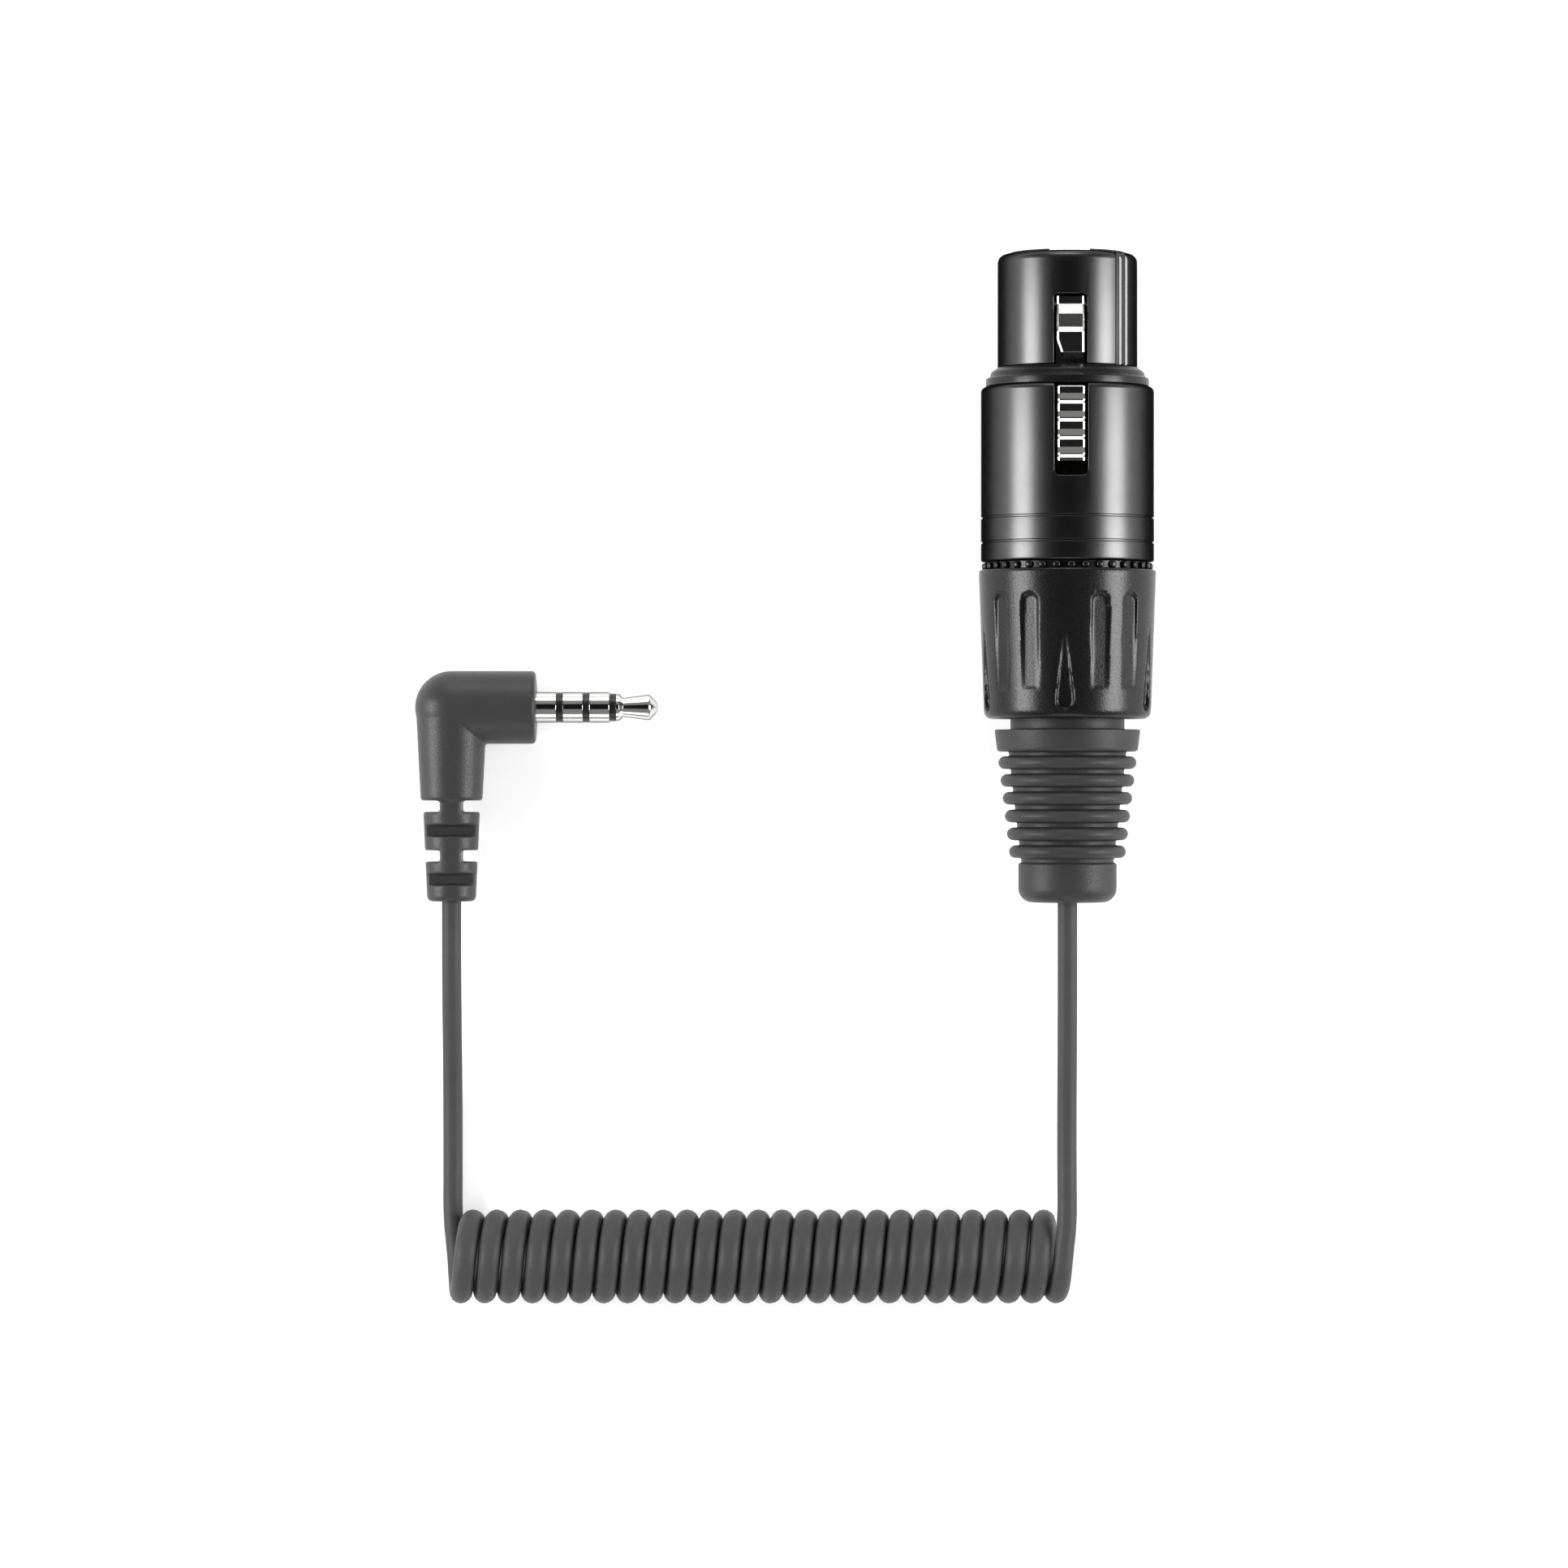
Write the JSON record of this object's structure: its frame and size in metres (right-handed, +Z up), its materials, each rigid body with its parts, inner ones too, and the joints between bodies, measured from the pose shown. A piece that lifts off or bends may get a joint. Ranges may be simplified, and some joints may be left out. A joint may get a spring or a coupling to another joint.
{
  "type": "xlr cable coil",
  "caption": "Coiled adapter cable: a three-pole XLR cable socket with latch, a curly cord, and an angled 3.5 mm four-pole plug with a cut strain relief.",
  "frame": {"origin": "Centre, at floor level, of the box round the two connectors, without the cord; the cable lies flat.", "axes": "+X from the angled plug to the XLR connector, +Y the way the XLR nose points, +Z up; the plug's pin points to +X."},
  "size_m": [0.0848, 0.1199, 0.0202],
  "materials": {
    "shell": "fine matt texture coat",
    "collar": "fine texture",
    "insert": "moulded",
    "contacts": "gold plated",
    "latch": "nickel plated",
    "springs": "spring strip",
    "clip": "spring bronze",
    "chuck": "moulded",
    "wire_shield": "insulation",
    "wire_red": "insulation",
    "wire_white": "insulation",
    "cord": "satin",
    "nut": "fine grain",
    "toothed": "fine grain",
    "boot": "matt",
    "moulding": "fine grain",
    "core": "moulded",
    "plating": "bright",
    "insulator": "moulded"
  },
  "bodies": {
    "xlr": {"shell": "shell", "collar_ring": "collar", "insert": "insert", "contact_1": "contacts", "contact_2": "contacts", "contact_3": "contacts", "latch_pin": "latch", "latch_spring": "springs", "ground_clip": "clip", "chuck": "chuck", "xlr_wire_1": "wire_shield", "xlr_wire_2": "wire_red", "xlr_wire_3": "wire_white", "xlr_jacket": "cord", "cord_curls": "cord", "cord_right": "cord"},
    "latch": {"latch_lever": "latch"},
    "boot": {"boot": "boot"},
    "back_nut": {"back_nut": "nut", "toothed_ring": "toothed"},
    "jack": {"jack_moulding": "moulding", "jack_core": "core", "jack_tip": "plating", "jack_ring_1": "plating", "jack_ring_2": "plating", "jack_sleeve": "plating", "jack_insulator_1": "insulator", "jack_insulator_2": "insulator", "jack_insulator_3": "insulator", "jack_wire_1": "wire_shield", "jack_wire_2": "wire_white", "jack_wire_3": "wire_red", "jack_jacket": "cord", "cord_left": "cord"}
  },
  "joints": [
    {"name": "latch_press", "type": "hinge", "parent": "xlr", "child": "latch", "pos_m": [0.0323, 0.0309, 0.016], "axis": [1, 0, 0], "range_deg": [0, 8], "stiffness_Nm_per_rad": 0.3, "deforming": ["latch_spring"]},
    {"name": "boot_slide", "type": "slide", "parent": "xlr", "child": "boot", "axis": [0, -1, 0], "range_m": [0, 0.006]},
    {"name": "nut_turn", "type": "hinge", "parent": "boot", "child": "back_nut", "pos_m": [0.0323, 0, 0.0101], "axis": [0, -1, 0], "range_deg": [0, 1460]},
    {"name": "cord_stretch", "type": "slide", "parent": "xlr", "child": "jack", "axis": [-1, 0, 0], "range_m": [0, 0.2], "stiffness_N_per_m": 8, "deforming": ["cord_curls"]}
  ],
  "couplings": [
    {"joint": "nut_turn", "follows": "boot_slide", "rad_per_m": 4188.8}
  ]
}
